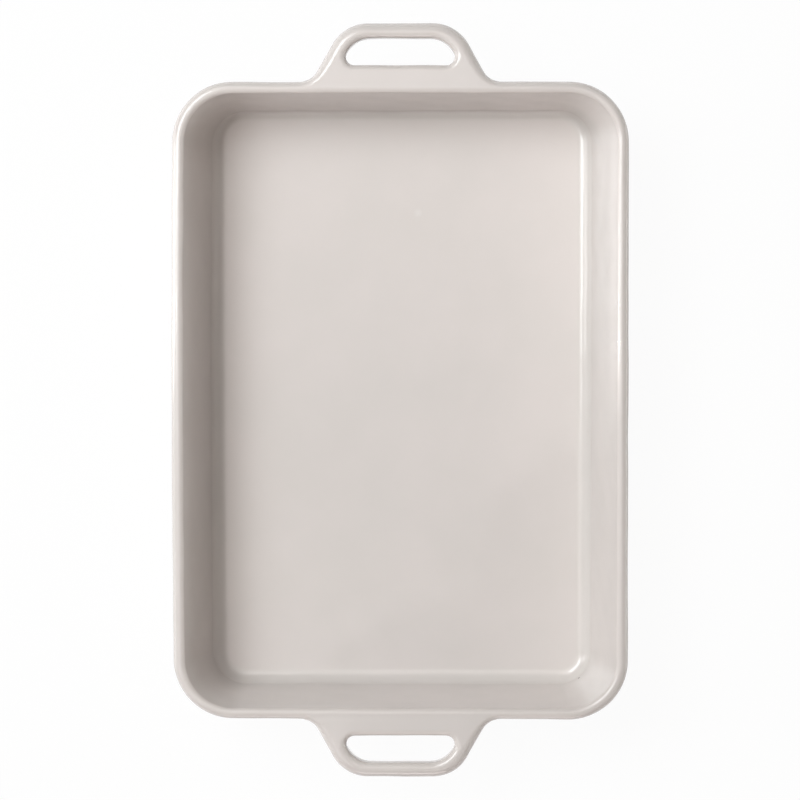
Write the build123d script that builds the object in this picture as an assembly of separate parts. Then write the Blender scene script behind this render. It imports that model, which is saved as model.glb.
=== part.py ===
from build123d import *
from math import atan2, degrees, hypot
import os

# A stoneware lasagna dish, in millimetres.
# Z is up, Y runs along the dish through both handles, and the origin is the middle of the foot.

# Basin
body_length = 339.1  # over the rim, before its edges are rounded
body_width = 243.0  # over the rim, before its edges are rounded
body_height = 65.0  # from the table to the crown of the rim
outer_lean = 7.0  # how far the walls lean out from base to rim, outside
side_lean = 13.4  # how far a long wall leans out from floor to rim, inside
end_lean = 7.0  # how far an end wall leans out from floor to rim, inside
corner_radius = 27.0  # upright corners at the rim, outside
inner_corner_radius = 20.0  # upright corners, inside
rim_width = 6.2  # across the rounded rim
crown_flat = 0.6  # level strip left along the crown of the rim
floor_thickness = 6.5
floor_round = 11.0  # hollow round between floor and walls, inside
heel_round = 12.0  # round between walls and base, outside

# Foot ring
foot_height = 1.8
foot_width = 7.0
foot_inset = 14.0  # from the edge of the base to the ring
foot_corner_radius = 20.0
foot_bevel = 0.8  # lower edges of the ring

# Handles
handle_reach = 30.6  # from the end of the rim to the tip of the handle
handle_thickness = 11.0
handle_tip_width = 60.0  # across the tip, as if its corners were sharp
handle_root_width = 94.0  # across the root, as if its corners were sharp
tip_radius = 22.0  # outer corners, in plan
handle_bevel = 2.4  # lower edges of the handle
blend_radius = 11.0  # hollow round where the handle meets the wall
seat_margin = 2.0  # from the seat of the handle to its blend and to the corners of the rim

# Finger slot
grip_width = 8.0  # bar outside the slot
cheek_width = 10.0  # bars beside the slot
slot_setback = 8.4  # from the end of the rim to the slot
slot_tip_radius = 13.0  # corners by the grip
slot_root_radius = 3.9  # corners by the rim
slot_bevel = 2.0  # upper and lower edges of the slot

# Overrun of cutting solids past the faces that they cut
overrun = 5.0

# Derived sizes and places
half_width = body_width / 2
half_length = body_length / 2
wall_height = body_height - foot_height
floor_height = foot_height + floor_thickness
base_half_width = half_width - outer_lean
base_half_length = half_length - outer_lean
rim_round = (rim_width - crown_flat) / 2
crown_y = half_length - rim_width / 2
tip_y = half_length + handle_reach
handle_base = body_height - handle_thickness
side_slope = (handle_root_width - handle_tip_width) / 2 / handle_reach


def leaning_prism(plane, low_half, high_half, low, high, half_reach):
    """A bar with leaning sides, drawn on an upright plane and run both ways from it."""
    corners = [(-low_half, low), (low_half, low), (high_half, high), (-high_half, high)]
    section = make_face(Polyline(*corners, close=True))
    return extrude(plane * section, half_reach, both=True)


def tapered_plan(back_y, back_half_x, front_y, front_half_x, height):
    """A level four-sided plan that narrows along Y."""
    corners = [
        (-back_half_x, back_y),
        (back_half_x, back_y),
        (front_half_x, front_y),
        (-front_half_x, front_y),
    ]
    return Pos(0, 0, height) * make_face(Polyline(*corners, close=True))


def both_ends(solid):
    """A solid at the rear end of the dish, and its mirror image at the front end."""
    return [solid, mirror(solid, about=Plane.XZ)]


def base_face(solid):
    """The lowest level face of a solid."""
    return solid.faces().filter_by(Axis.Z).sort_by(Axis.Z)[0]


def top_face(solid):
    """The highest level face of a solid."""
    return solid.faces().filter_by(Axis.Z).sort_by(Axis.Z)[-1]


def outer_form():
    """The outside of the basin as a solid block, from the base up to the rim."""
    rim = Pos(0, 0, body_height) * RectangleRounded(body_width, body_length, corner_radius)
    lean_angle = degrees(atan2(outer_lean, wall_height))
    form = extrude(rim, -wall_height, taper=lean_angle)
    return fillet(base_face(form).edges(), heel_round)


def cavity():
    """The space inside the basin, whose long walls lean more than its end walls."""
    mouth_x = half_width - rim_width
    mouth_y = half_length - rim_width
    across = leaning_prism(Plane.XZ, mouth_x - side_lean, mouth_x, floor_height, body_height, body_length)
    along = leaning_prism(Plane.YZ, mouth_y - end_lean, mouth_y, floor_height, body_height, body_width)
    space = across & along
    level_edges = base_face(space).edges() + top_face(space).edges()
    space = fillet(space.edges() - level_edges, inner_corner_radius)
    return fillet(base_face(space).edges(), floor_round)


def foot_ring():
    """The low ring under the base, bevelled where it meets the table."""
    ring_x = 2 * (base_half_width - foot_inset)
    ring_y = 2 * (base_half_length - foot_inset)
    hole_radius = foot_corner_radius - foot_width
    outside = RectangleRounded(ring_x, ring_y, foot_corner_radius)
    inside = RectangleRounded(ring_x - 2 * foot_width, ring_y - 2 * foot_width, hole_radius)
    ring = extrude(outside - inside, foot_height)
    return chamfer(base_face(ring).edges(), foot_bevel)


def handle_half_width(y):
    """Half the width of the rear handle at a place, before its corners are rounded."""
    return handle_tip_width / 2 + (tip_y - y) * side_slope


def handle_slab():
    """The rear handle without its slot, from the crown of the rim to its tip."""
    plan = tapered_plan(crown_y, handle_half_width(crown_y), tip_y, handle_tip_width / 2, handle_base)
    plan = fillet(plan.vertices().group_by(Axis.Y)[-1], tip_radius)
    slab = extrude(plan, handle_thickness)
    root_edge, *outer_edges = base_face(slab).edges().sort_by(Axis.Y)
    return chamfer(outer_edges, handle_bevel)


def finger_slot():
    """The space that the finger slot of the rear handle takes, past both its faces."""
    back_y = half_length + slot_setback
    front_y = tip_y - grip_width
    cheek_x = cheek_width * hypot(1, side_slope)
    back_x = handle_half_width(back_y) - cheek_x
    front_x = handle_half_width(front_y) - cheek_x
    plan = tapered_plan(back_y, back_x, front_y, front_x, handle_base - overrun)
    plan = fillet(plan.vertices().group_by(Axis.Y)[-1], slot_tip_radius)
    plan = fillet(plan.vertices().group_by(Axis.Y)[0], slot_root_radius)
    return extrude(plan, handle_thickness + 2 * overrun)


def seam_edges(joined, separate):
    """The edges where the handles stand out of the walls, under the level of the rim."""
    seams = new_edges(*separate, combined=joined)
    return seams.filter_by_position(Axis.Z, handle_base - handle_bevel, body_height - crown_flat)


def slot_edges(solid, slots):
    """The upper and lower edges of the finger slots."""
    level = solid.edges().filter_by(Axis.Z, reverse=True)
    return [edge for edge in level if any(slot.is_inside(edge.center()) for slot in slots)]


def whole_dish():
    """Basin and handles as one shape, with every edge softened."""
    forms = [outer_form(), *both_ends(handle_slab())]
    dish = Part() + forms
    dish = fillet(seam_edges(dish, forms), blend_radius)
    slots = both_ends(finger_slot())
    dish = dish - slots - cavity()
    dish = chamfer(slot_edges(dish, slots), slot_bevel)
    top = top_face(dish)
    mouth = top.inner_wires().sort_by(SortBy.LENGTH)[-1]
    dish = fillet(top.outer_wire().edges() + mouth.edges(), rim_round)
    return dish + foot_ring()


def handle_seat():
    """The space of the rear handle and of the strip of rim that it is drawn from."""
    width = 2 * (half_width - corner_radius - seat_margin)
    depth = handle_thickness + blend_radius + seat_margin
    reach = tip_y - crown_y + overrun
    space = Box(width, reach, depth + overrun, align=(Align.CENTER, Align.MIN, Align.MIN))
    lower_corners = space.edges().filter_by(Axis.Y).group_by(Axis.Z)[0]
    return Pos(0, crown_y, body_height - depth) * fillet(lower_corners, blend_radius)


os.makedirs("parts", exist_ok=True)
dish = whole_dish()
rear_seat, front_seat = both_ends(handle_seat())
pieces = {
    "dish_body": dish - rear_seat - front_seat,
    "rear_handle": dish & rear_seat,
    "front_handle": dish & front_seat,
}
for name, piece in pieces.items():
    export_step(piece, f"parts/{name}.step")
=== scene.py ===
import math

import bpy
import numpy as np
from mathutils import Matrix, Vector


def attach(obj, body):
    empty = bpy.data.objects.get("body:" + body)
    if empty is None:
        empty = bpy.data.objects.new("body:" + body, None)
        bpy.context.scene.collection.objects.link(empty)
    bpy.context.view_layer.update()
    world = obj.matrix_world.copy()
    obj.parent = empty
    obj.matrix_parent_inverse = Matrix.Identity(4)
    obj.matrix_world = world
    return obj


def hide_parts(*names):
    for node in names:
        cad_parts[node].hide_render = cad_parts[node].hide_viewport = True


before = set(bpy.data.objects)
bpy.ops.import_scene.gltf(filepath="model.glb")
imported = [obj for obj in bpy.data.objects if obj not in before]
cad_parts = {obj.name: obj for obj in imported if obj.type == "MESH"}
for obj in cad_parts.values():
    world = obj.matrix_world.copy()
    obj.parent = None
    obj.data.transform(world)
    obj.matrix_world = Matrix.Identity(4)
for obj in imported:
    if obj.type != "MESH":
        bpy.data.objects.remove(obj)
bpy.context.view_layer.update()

MM = 0.001

# The dish in millimetres: Z is up, Y runs through both handles, +Y is the rear.
# Basin, outside
HALF_WIDTH = 121.5  # over the rim
HALF_LENGTH = 169.55  # over the rim
HEIGHT = 65.0  # from the table to the crown of the rim
OUTER_LEAN = 7.0  # how far the walls lean out from base to rim
CORNER = 32.0  # upright corners at the rim
HEEL_ROUND = 12.0  # between walls and base
LEFT_BOW = 0.3  # how far the left wall swells at its middle
LEFT_PINCH = 1.1  # how far it draws in towards its ends

# Basin, inside
FLOOR_HEIGHT = 8.3
SIDE_LEAN = 12.5  # of a long wall, from floor to rim
END_LEAN = 7.3  # of an end wall, from floor to rim
REAR_LESS_LEAN = 1.1  # by how much the rear end wall leans less
MOUTH_CORNER = 25.8  # upright corners at the rim
FLOOR_CORNER = 17.0  # upright corners at the floor
FLOOR_ROUND = 7.8  # hollow round between floor and walls
REAR_LESS_ROUND = 3.4  # by how much it is tighter at the rear end
REAR_RAMP = 100.0  # length over which front passes into rear

# Rim
RIM_WIDTH = 6.2
RIM_OUTER_ROUND = 3.7  # the rest of the width is the inner round
GRIP_EXTRA_ROUND = 1.0  # upper edges of the handles, beyond the rim's outer round
GRIP_RAMP_START = 1.0  # from the end of the rim to where the extra round begins
GRIP_RAMP = 8.0  # length over which it grows
SPLIT_HEIGHT = 40.0  # the rim is rounded above this level, the floor's edge below it

# Handles
HANDLE_REACH = 30.6  # from the end of the rim to the tip
HANDLE_THICKNESS = 11.0
TIP_HALF_WIDTH = 30.0
ROOT_HALF_WIDTH = 47.0
TIP_RADIUS = 22.0  # outer corners, in plan
HANDLE_ROUND = 3.6  # lower edges
BLEND = 11.0  # hollow round where handle and wall meet

# Finger slots
GRIP = 8.0  # bar outside the slot
CHEEK = 9.0  # bars beside the slot
SLOT_SETBACK = 8.4  # from the end of the rim to the slot
SLOT_TIP_RADIUS = 14.0  # corners by the grip
SLOT_ROOT_RADIUS = 4.5  # corners by the rim
SLOT_ROUND = 3.2  # upper and lower edges

# Foot ring
FOOT_HEIGHT = 1.8
FOOT_WIDTH = 7.0
FOOT_INSET = 14.0  # from the edge of the base to the ring
FOOT_CORNER = 20.0
FOOT_EDGE = 0.8  # round at the table
FOOT_BLEND = 0.5  # hollow round under the base
FOOT_ROOT = 2.0  # how far the ring's form reaches up into the base

# Seats that part the handles from the body, as in the solids
SEAT_HALF_WIDTH = 92.5
SEAT_MARGIN = 2.0
SEAT_OVERRUN = 5.0  # past the rim and past the tip of the handle
SEAT_ARC_POINTS = 9

# Derived lengths, and sines and cosines of the leaning faces
DEPTH = HEIGHT - FLOOR_HEIGHT
TIP_Y = HALF_LENGTH + HANDLE_REACH
CROWN_Y = HALF_LENGTH - RIM_WIDTH / 2
SLOPE = (ROOT_HALF_WIDTH - TIP_HALF_WIDTH) / HANDLE_REACH
SIDE_ANGLE = math.atan(SLOPE)
SIDE_SIN, SIDE_COS = math.sin(SIDE_ANGLE), math.cos(SIDE_ANGLE)
OUTER_ANGLE = math.atan(OUTER_LEAN / (HEIGHT - FOOT_HEIGHT))
OUTER_SIN, OUTER_COS = math.sin(OUTER_ANGLE), math.cos(OUTER_ANGLE)
LONG_ANGLE = math.atan(SIDE_LEAN / DEPTH)
LONG_SIN, LONG_COS = math.sin(LONG_ANGLE), math.cos(LONG_ANGLE)
END_ANGLE = math.atan(END_LEAN / DEPTH)
END_SIN, END_COS = math.sin(END_ANGLE), math.cos(END_ANGLE)
NEAR_ZERO = 0.01  # keeps a ratio of two lengths finite

# Unevenness of hand-finished clay: wavelength, height and number of the waves of each size
WAVE_SIZES = ((110, 0.06, 4), (45, 0.03, 6), (22, 0.012, 8))
WAVE_STRETCH = [1, 1, 0.6]  # the waves are longer upwards
STILL_HEIGHT = 2.5  # nothing waves below this level
STILL_RAMP = 12.0  # height over which the waves set in

# Grid of the mesh: (end, step) from the middle outwards, and (start, end, step) upwards
X_RUNS = ((12, 3), (50, 1.5), (84, 4), (126, 1.2))
Y_RUNS = ((138, 5), (206, 1.2))
Z_RUNS = ((-1.27, 3.2, 0.5), (3.6, 23, 1.3), (24, 44, 2.4), (44.7, 70, 1.1))
X_SHIFT, Y_SHIFT = 0.13, 0.11  # keep the grid off the planes of symmetry
GRID_PARTS = 12  # the field is worked out in parts, to save memory
NET_PASSES = 5
LONGEST_MOVE = 0.8  # of a mesh point in one pass
FLATTEST = 0.2  # least squared slope that a pass divides by

# Shading
BURIED = 0.25  # a face whose middle lies deeper than this is a cut face
AGREEMENT = 0.3  # least cosine between a face and the form's normal
EDGE_BEND = 0.4  # bend per millimetre at which an edge counts in full
HOLLOW_BEND = 0.12  # bend per millimetre at which a hollow gets its painted shade in full

# Marks in the glaze, with the radii at which they are full and gone
PINHOLE = (97.2, -152.9, 16.3)
PINHOLE_RADII = (0.35, 0.8)
PALE_MARK = (9.0, 102.0, 8.3)
PALE_MARK_RADII = (0.5, 2.6)
MARK_PASSES = 6

# Colours of glaze and clay, and of painted shade
GLAZE_COOL = (0.690, 0.650, 0.625, 1)
GLAZE_WARM = (0.720, 0.672, 0.650, 1)
GLAZE_ON_EDGES = (0.690, 0.630, 0.590, 1)
# painted shade: a darker colour for the hollow rounds, where shade falls
PAINTED_SHADE_IN_HOLLOWS = (0.660, 0.640, 0.605, 1)
PALE_MARK_COLOUR = (0.735, 0.700, 0.680, 1)
# a pinhole: bare clay in its pit, with painted shade far darker than the clay
PINHOLE_PAINTED_SHADE = (0.12, 0.09, 0.07, 1)
BARE_CLAY = (0.42, 0.33, 0.25, 1)
TINT_SHARE = 0.30  # of the colour for edges and of the painted shade in hollows, at most
CLAY_TOP, GLAZE_FOOT = 0.6, 1.0  # levels between which bare clay passes into glaze
CLOUD_SCALE, CLOUD_DETAIL = 22.0, 4.0
CLOUD_STOPS = (0.3, 0.7)  # noise values at which the cool and the warm tint are full
GRAIN_SCALE, GRAIN_DETAIL = 160.0, 3.0
GRAIN_BUMP = {"Strength": 0.25, "Distance": 0.0002}
SMOOTHEST, ROUGHEST = 0.16, 0.24  # roughness, which follows the grain

# Stage
FLOOR_REACH = 35.0
FLOOR_COLOUR = (0.86, 0.86, 0.86, 1)
FLOOR_WHITE = 0.95  # of its white that the floor shows to the camera and in reflections


# The form, as a distance field in millimetres

def both(a, b, r, turn=0.0):
    """What two forms share, its edge rounded to r. turn is the cosine between their normals."""
    a, b = a + r, b + r
    corner = np.sqrt(np.maximum(a * a + b * b - 2 * turn * a * b, 0) / (1 - turn * turn))
    return np.where((a > turn * b) & (b > turn * a), corner, np.maximum(a, b)) - r


def either(a, b, r, turn=0.0):
    """Two forms together, with a hollow round of radius r where they meet."""
    return -both(-a, -b, r, turn)


def rounded_plan(x, y, half_x, half_y, radius):
    """A level rectangle with rounded corners."""
    return both(x - half_x, y - half_y, radius)


rng = np.random.default_rng(11)
WAVES = [
    (rng.normal(size=3) * WAVE_STRETCH * 2 * math.pi / length, rng.uniform(0, 2 * math.pi), size)
    for length, size, count in WAVE_SIZES
    for _ in range(count)
]


def unevenness(x, y, z):
    """The slight waviness that pressing, drying and firing leave, none of it under the foot."""
    total = np.zeros_like(x)
    for k, phase, size in WAVES:
        total += size * np.sin(k[0] * x + k[1] * y + k[2] * z + phase)
    rise = np.clip((z - STILL_HEIGHT) / STILL_RAMP, 0, 1)
    return total * rise * rise * (3 - 2 * rise)


def outer_wall(x, y, z):
    """The basin as a block, with leaning walls and a rounded heel."""
    lean = OUTER_LEAN * (HEIGHT - z) / (HEIGHT - FOOT_HEIGHT)
    wall = (rounded_plan(x, y, HALF_WIDTH, HALF_LENGTH, CORNER) + lean) * OUTER_COS
    return both(wall, FOOT_HEIGHT - z, HEEL_ROUND, OUTER_SIN)


def with_handle(wall, side, y, z):
    """The block with the handle slab blended into it. side is the distance past the slab's side."""
    plan = both(side, y - TIP_Y, TIP_RADIUS, SIDE_SIN)
    under = HEIGHT - HANDLE_THICKNESS - z
    slab = both(plan, under, HANDLE_ROUND)
    level = np.maximum(plan + HANDLE_ROUND, NEAR_ZERO)
    below = np.maximum(under + HANDLE_ROUND, 0)
    turn = (level * SIDE_SIN + below * OUTER_SIN) / np.hypot(level, below)
    return either(wall, np.maximum(slab, CROWN_Y - y), BLEND, turn)


def lining(x, y, z, rear):
    """All that isn't hollow, with the rim's inner round above and the floor's round below."""
    share = (HEIGHT - z) / DEPTH
    corner = MOUTH_CORNER + (FLOOR_CORNER - MOUTH_CORNER) * np.clip(share, 0, 1)
    end_lean = END_LEAN - REAR_LESS_LEAN * rear
    across = (x - (HALF_WIDTH - RIM_WIDTH) + SIDE_LEAN * share) * LONG_COS
    along = (y - (HALF_LENGTH - RIM_WIDTH) + end_lean * share) * END_COS
    to_side = np.maximum(across + corner, NEAR_ZERO)
    to_end = np.maximum(along + corner, 0)
    turn = (to_side * LONG_SIN + to_end * END_SIN) / np.hypot(to_side, to_end)
    hollow = both(across, along, corner)
    lip = both(-hollow, z - HEIGHT, RIM_WIDTH - RIM_OUTER_ROUND, turn)
    end_share = to_end ** 2 / (to_side ** 2 + to_end ** 2)
    floor_round = FLOOR_ROUND - REAR_LESS_ROUND * rear * end_share
    basin = both(hollow, FLOOR_HEIGHT - z, floor_round, turn)
    return np.where(z > SPLIT_HEIGHT, lip, -basin)


def finger_slot(side, y):
    """The space of the finger slot, through the whole thickness of the handle."""
    slot = both(side + CHEEK, y - (TIP_Y - GRIP), SLOT_TIP_RADIUS, SIDE_SIN)
    return both(slot, HALF_LENGTH + SLOT_SETBACK - y, SLOT_ROOT_RADIUS, -SIDE_SIN)


def foot_ring(x, y, z):
    """The ring that the dish stands on."""
    inset = OUTER_LEAN + FOOT_INSET + FOOT_WIDTH / 2
    radius = FOOT_CORNER - FOOT_WIDTH / 2
    middle = rounded_plan(x, y, HALF_WIDTH - inset, HALF_LENGTH - inset, radius)
    ring = np.abs(middle) - FOOT_WIDTH / 2
    return both(np.maximum(ring, z - FOOT_HEIGHT - FOOT_ROOT), -z, FOOT_EDGE)


def dish(points):
    """Distance to the whole dish, negative inside it."""
    x0, y0, z = points[..., 0], points[..., 1], points[..., 2]
    span = y0 / HALF_LENGTH
    left_scale = 1 + (LEFT_BOW - LEFT_PINCH * span * span) / HALF_WIDTH
    x = np.abs(np.where(x0 < 0, x0 / left_scale, x0))
    y = np.abs(y0)
    rear = np.clip(0.5 + y0 / REAR_RAMP, 0, 1)
    side = (x - TIP_HALF_WIDTH - (TIP_Y - y) * SLOPE) * SIDE_COS
    block = with_handle(outer_wall(x, y, z), side, y, z)
    on_grip = np.clip((y - HALF_LENGTH - GRIP_RAMP_START) / GRIP_RAMP, 0, 1)
    outer_round = RIM_OUTER_ROUND + GRIP_EXTRA_ROUND * on_grip
    shell = np.maximum(both(block, z - HEIGHT, outer_round, -OUTER_SIN), lining(x, y, z, rear))
    shell = both(shell, -finger_slot(side, y), SLOT_ROUND)
    shell = either(shell, foot_ring(x, y, z), FOOT_BLEND)
    return shell + unevenness(x0, y0, z)


def axis_steps(step):
    """One step along each axis."""
    return [step * unit for unit in np.eye(3)]


def slope_of(points, step=0.04):
    """The field's gradient at each point."""
    slopes = [(dish(points + move) - dish(points - move)) / (2 * step) for move in axis_steps(step)]
    return np.stack(slopes, axis=-1)


def bend_of(points, step=0.7):
    """How sharply the surface bends, per millimetre: edges above zero, hollows below."""
    total = -6 * dish(points)
    for move in axis_steps(step):
        total += dish(points + move) + dish(points - move)
    return total / step ** 2


def to_surface(points, passes, longest=math.inf):
    """The points moved onto the surface, straight along the field's slope."""
    for _ in range(passes):
        slope = slope_of(points)
        steepness = np.maximum((slope * slope).sum(1), FLATTEST)
        move = dish(points)[:, None] * slope / steepness[:, None]
        points = points - np.clip(move, -longest, longest)
    return points


# The mesh

def mirrored_lines(runs, shift):
    """Grid lines from (end, step) runs outwards from zero, to both sides."""
    lines = [0.0]
    for end, step in runs:
        count = max(1, round((end - lines[-1]) / step))
        lines += list(np.linspace(lines[-1], end, count + 1)[1:])
    half = np.array(lines)
    return np.concatenate([-half[:0:-1], half]) + shift


def net(xs, ys, zs):
    """A closed quad mesh over the field's zero surface: one point in each cell that it crosses."""
    grid = np.stack(np.meshgrid(xs, ys, zs, indexing="ij"), axis=-1)
    field = np.concatenate([dish(part) for part in np.array_split(grid, GRID_PARTS)])
    shape = tuple(n - 1 for n in field.shape)
    total = np.zeros(shape + (3,))
    count = np.zeros(shape)
    all_quads = []
    for axis in range(3):
        low = [slice(None)] * 3
        high = [slice(None)] * 3
        low[axis], high[axis] = slice(None, -1), slice(1, None)
        a, b = field[tuple(low)], field[tuple(high)]
        found = np.argwhere((a < 0) != (b < 0))
        fa, fb = a[tuple(found.T)], b[tuple(found.T)]
        start = grid[tuple(found.T)]
        ahead = found.copy()
        ahead[:, axis] += 1
        crossing = start + (grid[tuple(ahead.T)] - start) * (fa / (fa - fb))[:, None]
        u, v = (axis + 1) % 3, (axis + 2) % 3
        around = []
        for du, dv in ((-1, -1), (0, -1), (0, 0), (-1, 0)):
            cell = found.copy()
            cell[:, u] += du
            cell[:, v] += dv
            np.add.at(total, tuple(cell.T), crossing)
            np.add.at(count, tuple(cell.T), 1)
            around.append(np.ravel_multi_index(tuple(cell.T), shape))
        quads = np.stack(around, axis=1)
        flip = fa > 0
        quads[flip] = quads[flip][:, ::-1]
        all_quads.append(quads)
    used = np.flatnonzero(count.ravel())
    index = np.full(count.size, -1)
    index[used] = np.arange(len(used))
    points = total.reshape(-1, 3)[used] / count.ravel()[used, None]
    return to_surface(points, NET_PASSES, LONGEST_MOVE), index[np.concatenate(all_quads)]


def place_in_scene(name, data):
    """A new object of the scene."""
    obj = bpy.data.objects.new(name, data)
    bpy.context.scene.collection.objects.link(obj)
    return obj


def mesh_object(name, verts, faces):
    """A new object with a mesh of its own, in metres."""
    mesh = bpy.data.meshes.new(name)
    mesh.from_pydata(verts, [], faces)
    mesh.update()
    return place_in_scene(name, mesh)


def seat(sign):
    """The space of one handle and of the strip of rim that it is drawn from."""
    half = SEAT_HALF_WIDTH
    low = HEIGHT - HANDLE_THICKNESS - BLEND - SEAT_MARGIN
    section = [(half, HEIGHT + SEAT_OVERRUN)]
    section += [
        (half - BLEND + BLEND * math.cos(a), low + BLEND - BLEND * math.sin(a))
        for a in np.linspace(0, math.pi / 2, SEAT_ARC_POINTS)
    ]
    section += [(-x, z) for x, z in reversed(section)]
    n = len(section)
    ends = (sign * CROWN_Y, sign * (TIP_Y + SEAT_OVERRUN))
    verts = [(x * MM, y * MM, z * MM) for y in ends for x, z in section]
    faces = [tuple(range(n)), tuple(range(2 * n - 1, n - 1, -1))]
    faces += [(i, i + n, (i + 1) % n + n, (i + 1) % n) for i in range(n)]
    if sign > 0:
        faces = [face[::-1] for face in faces]
    return mesh_object("seat", verts, faces)


def cut(obj, cutter, operation):
    """Cuts an object's mesh with another object, in place."""
    change = obj.modifiers.new("cut", "BOOLEAN")
    change.operation = operation
    change.solver = "EXACT"
    change.object = cutter
    bpy.context.view_layer.update()
    evaluated = obj.evaluated_get(bpy.context.evaluated_depsgraph_get())
    done = bpy.data.meshes.new_from_object(evaluated)
    obj.modifiers.clear()
    obj.data = done


def read(items, name, width=1, kind=float):
    """One value, or one vector, of each item of a mesh."""
    values = np.empty(len(items) * width, kind)
    items.foreach_get(name, values)
    return values.reshape(-1, width) if width > 1 else values


def store(mesh, name, values):
    """Keeps a value between 0 and 1 at each mesh point, for the glaze to read."""
    attribute = mesh.attributes.new(name, "FLOAT", "POINT")
    attribute.data.foreach_set("value", np.clip(values, 0, 1))


def smooth_from_field(obj):
    """Shades the skin with the form's own normals, and the hidden cut faces flat."""
    mesh = obj.data
    points = read(mesh.vertices, "co", 3) / MM
    slope = slope_of(points)
    slope /= np.maximum(np.linalg.norm(slope, axis=1), 1e-9)[:, None]
    mesh.polygons.foreach_set("use_smooth", np.ones(len(mesh.polygons), bool))
    flat = read(mesh.polygons, "normal", 3)
    buried = dish(read(mesh.polygons, "center", 3) / MM) < -BURIED
    sizes = read(mesh.polygons, "loop_total", kind=int)
    face_of = np.repeat(np.arange(len(sizes)), sizes)
    normals = slope[read(mesh.loops, "vertex_index", kind=int)]
    agrees = (normals * flat[face_of]).sum(1) > AGREEMENT
    normals = np.where((buried[face_of] | ~agrees)[:, None], flat[face_of], normals)
    mesh.normals_split_custom_set(normals.tolist())
    bend = bend_of(points)
    store(mesh, "edge", bend / EDGE_BEND)
    # how hollow the surface is, which the glaze darkens as painted shade
    store(mesh, "hollow", -bend / HOLLOW_BEND)


xs = mirrored_lines(X_RUNS, X_SHIFT)
ys = mirrored_lines(Y_RUNS, Y_SHIFT)
zs = np.concatenate([np.arange(*run) for run in Z_RUNS])
points, quads = net(xs, ys, zs)
body = mesh_object("whole", (points * MM).tolist(), quads.tolist())

pieces = {}
seats = {"rear_handle": seat(1), "front_handle": seat(-1)}
for name, cutter in seats.items():
    pieces[name] = place_in_scene(name + "_glazed", body.data.copy())
    cut(pieces[name], cutter, "INTERSECT")
body.name = "dish_body_glazed"
pieces["dish_body"] = body
for cutter in seats.values():
    cut(body, cutter, "DIFFERENCE")
for cutter in seats.values():
    bpy.data.objects.remove(cutter)


# Finish

def node(tree, kind, sockets=None, **settings):
    """A new node, with its settings, and a value or a link for each input socket that is named."""
    made = tree.nodes.new(kind)
    for key, value in settings.items():
        setattr(made, key, value)
    fill(tree, made, sockets or {})
    return made


def fill(tree, target, sockets):
    """Sets or links input sockets of a node."""
    for key, value in sockets.items():
        if isinstance(value, bpy.types.NodeSocket):
            tree.links.new(value, target.inputs[key])
        else:
            target.inputs[key].default_value = value


def new_material(name):
    """A new material, its node tree and its shader."""
    made = bpy.data.materials.new(name)
    made.use_nodes = True
    return made, made.node_tree, made.node_tree.nodes["Principled BSDF"]


def noise(tree, where, scale, detail):
    """Soft noise over the surface, from 0 to 1."""
    sockets = {"Vector": where, "Scale": scale, "Detail": detail}
    return node(tree, "ShaderNodeTexNoise", sockets).outputs["Fac"]


def ramp(tree, value, low, high, least=0.0, most=1.0):
    """A value mapped from the range low to high onto least to most."""
    ranges = {"From Min": low, "From Max": high, "To Min": least, "To Max": most}
    return node(tree, "ShaderNodeMapRange", {"Value": value, **ranges}).outputs["Result"]


def blend(tree, share, base, colour):
    """A colour that goes from base to another as share goes from 0 to 1."""
    sockets = {"Factor": share, "A": base, "B": colour}
    return node(tree, "ShaderNodeMix", sockets, data_type="RGBA").outputs["Result"]


def blend_by_attribute(tree, name, base, colour):
    """A colour that goes from base towards another where a stored value is high."""
    found = node(tree, "ShaderNodeAttribute", attribute_name=name).outputs["Fac"]
    return blend(tree, ramp(tree, found, 0.0, 1.0, most=TINT_SHARE), base, colour)


def spot(tree, where, near, radii, base, colour):
    """A small round spot of another colour, at the place on the surface nearest to a point."""
    centre = to_surface(np.array([near]), MARK_PASSES)[0]
    sockets = {0: where, 1: tuple(value * MM for value in centre)}
    far = node(tree, "ShaderNodeVectorMath", sockets, operation="DISTANCE").outputs["Value"]
    full, gone = radii
    return blend(tree, ramp(tree, far, gone * MM, full * MM), base, colour)


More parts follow.
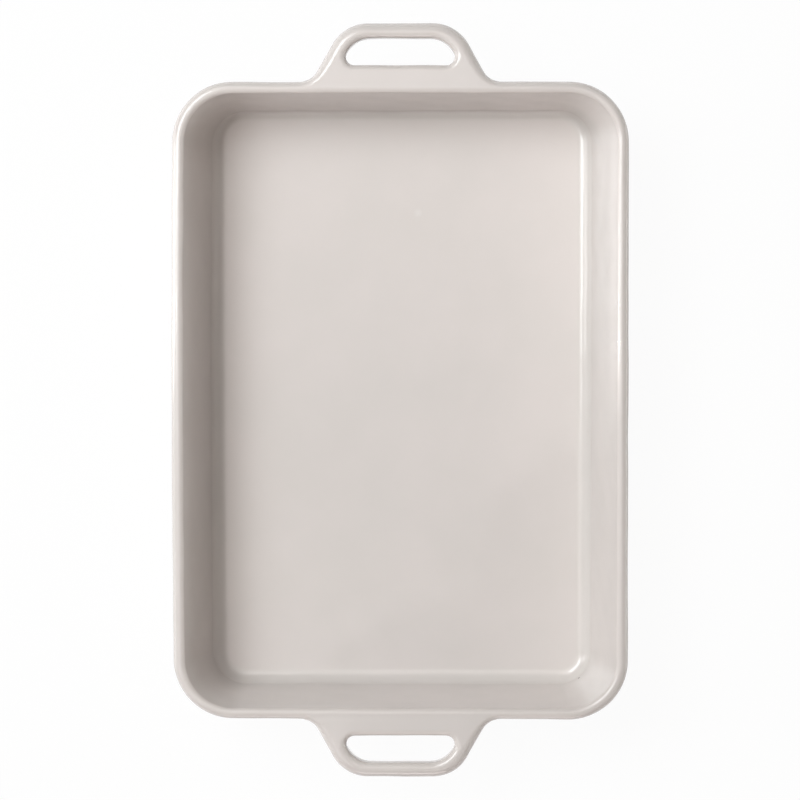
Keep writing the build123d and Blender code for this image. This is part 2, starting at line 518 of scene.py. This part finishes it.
def glaze_material():
    """A glossy warm white glaze: clouded, thin on edges, darkened in hollows as painted shade, bare
    under the foot.
    """
    made, tree, shader = new_material("warm_white_glaze")
    where = node(tree, "ShaderNodeTexCoord").outputs["Object"]
    cloud = noise(tree, where, CLOUD_SCALE, CLOUD_DETAIL)
    tint = node(tree, "ShaderNodeValToRGB", {"Fac": cloud})
    cool, warm = tint.color_ramp.elements
    cool.position, warm.position = CLOUD_STOPS
    cool.color, warm.color = GLAZE_COOL, GLAZE_WARM
    colour = blend_by_attribute(tree, "edge", tint.outputs["Color"], GLAZE_ON_EDGES)
    # painted shade: darker where the surface is hollow
    colour = blend_by_attribute(tree, "hollow", colour, PAINTED_SHADE_IN_HOLLOWS)
    colour = spot(tree, where, PALE_MARK, PALE_MARK_RADII, colour, PALE_MARK_COLOUR)
    # painted shade: a near-black spot for the shade in a pinhole's pit
    colour = spot(tree, where, PINHOLE, PINHOLE_RADII, colour, PINHOLE_PAINTED_SHADE)
    height = node(tree, "ShaderNodeSeparateXYZ", {"Vector": where}).outputs["Z"]
    glazed = ramp(tree, height, CLAY_TOP * MM, GLAZE_FOOT * MM)
    grain = noise(tree, where, GRAIN_SCALE, GRAIN_DETAIL)
    bump = node(tree, "ShaderNodeBump", {"Height": grain, **GRAIN_BUMP})
    fill(tree, shader, {
        "Base Color": blend(tree, glazed, BARE_CLAY, colour),
        "Metallic": 0.0,
        "IOR": 1.5,
        "Coat Weight": 0.35,
        "Coat Roughness": 0.06,
        "Roughness": ramp(tree, grain, 0.0, 1.0, SMOOTHEST, ROUGHEST),
        "Normal": bump.outputs["Normal"],
    })
    return made


glaze = glaze_material()
for name, piece in pieces.items():
    piece.data.materials.clear()
    piece.data.materials.append(glaze)
    smooth_from_field(piece)
    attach(piece, "root")
    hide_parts(name)


# Stage

def combined(tree, operation, a, b):
    """The result of one arithmetic operation on two values."""
    return node(tree, "ShaderNodeMath", {0: a, 1: b}, operation=operation).outputs[0]


def floor_material():
    """Pale paper: lit and shadowed as any surface, and nearly white to the camera."""
    made, tree, shader = new_material("paper_floor")
    fill(tree, shader, {"Base Color": FLOOR_COLOUR, "Roughness": 0.9})
    white = node(tree, "ShaderNodeEmission", {"Strength": 1.0}).outputs[0]
    path = node(tree, "ShaderNodeLightPath").outputs
    seen = path["Is Camera Ray"]
    for kind in ("Is Glossy Ray", "Is Transmission Ray"):
        seen = combined(tree, "MAXIMUM", seen, path[kind])
    share = combined(tree, "MULTIPLY", seen, FLOOR_WHITE)
    mixed = node(tree, "ShaderNodeMixShader", {0: share, 1: shader.outputs[0], 2: white})
    fill(tree, tree.nodes["Material Output"], {"Surface": mixed.outputs[0]})
    return made


def aim(obj, place, target):
    """Puts a lamp at a place and turns it towards a target."""
    obj.location = place
    obj.rotation_euler = (Vector(target) - Vector(place)).to_track_quat("-Z", "Y").to_euler()


def lamp(name, place, target, wide, tall, watts, colour=(1, 1, 1)):
    """A rectangular studio lamp."""
    light = bpy.data.lights.new(name, "AREA")
    light.shape = "RECTANGLE"
    light.size, light.size_y = wide, tall
    light.energy = watts
    light.color = colour
    aim(place_in_scene(name, light), place, target)


signs = ((-1, -1), (1, -1), (1, 1), (-1, 1))
corners = [(x * FLOOR_REACH, y * FLOOR_REACH, 0) for x, y in signs]
floor = mesh_object("floor", corners, [(0, 1, 2, 3)])
floor.data.materials.append(floor_material())

# Place, target, width and height in metres, watts, and a colour where it isn't white
CENTRE = (0, 0, 0)
LAMPS = {
    "window": ((-1.55, 0.13, 0.85), (0.0, 0.1, 0.05), 0.26, 0.95, 3.0),
    "softbox": ((-0.8, 0.5, 1.5), CENTRE, 1.0, 0.8, 17.6, (0.91, 0.98, 1.0)),
    "near": ((-0.3, 0.3, 1.6), CENTRE, 1.4, 1.3, 8.6, (1.0, 0.92, 0.88)),
    "back_left": ((-0.8, 1.3, 1.5), CENTRE, 1.0, 0.8, 4.2, (1.0, 0.90, 0.88)),
    "front": ((0.0, -1.3, 1.6), CENTRE, 1.0, 0.8, 2.2, (1.0, 0.90, 0.78)),
    "front_left": ((-0.9, -0.8, 1.6), CENTRE, 0.8, 0.8, 2.0),
    "low_front": ((0.0, -2.1, 0.45), CENTRE, 1.2, 0.5, 9.0, (1.0, 0.90, 0.90)),
    "low_left": ((-2.1, 0.0, 0.45), CENTRE, 1.2, 0.5, 5.0),
    "low_right": ((2.1, 0.0, 0.45), CENTRE, 1.2, 0.5, 2.6, (1.0, 0.84, 0.66)),
    "table_right": ((2.1, 0.0, 0.13), (0, 0, 0.06), 1.6, 0.16, 9.0, (0.95, 1.0, 1.0)),
}
for name, values in LAMPS.items():
    lamp(name, *values)

# A narrow beam for the glow high on the right wall
BEAM_PLACE = (-2.0, 0.06, 0.19)
BEAM_TARGET = (0.113, 0.072, 0.057)
glow = bpy.data.lights.new("table_glow", "SPOT")
glow.energy = 30.0
glow.spot_size = math.radians(4.4)
glow.spot_blend = 0.35
glow.shadow_soft_size = 0.02
aim(place_in_scene("table_glow", glow), BEAM_PLACE, BEAM_TARGET)

world = bpy.data.worlds.new("studio")
bpy.context.scene.world = world
world.use_nodes = True
tree = world.node_tree
fill(tree, tree.nodes["Background"], {"Color": (1, 1, 1, 1), "Strength": 0.02})

# Camera, straight above as in the photo
CAMERA = Vector((0.024, 0.045, 1.465))
AIM = Vector((0.0, 0.0009, 0.062))
data = bpy.data.cameras.new("camera")
data.sensor_width = 36.0
data.lens = 119.1
data.clip_end = 50.0
camera = place_in_scene("camera", data)
forward = (AIM - CAMERA).normalized()
right = forward.cross(Vector((0, 1, 0))).normalized()
turned = Matrix((right, right.cross(forward), -forward)).transposed()
camera.matrix_world = Matrix.Translation(CAMERA) @ turned.to_4x4()
bpy.context.scene.camera = camera
bpy.context.scene.view_settings.view_transform = "Standard"

bpy.context.view_layer.update()
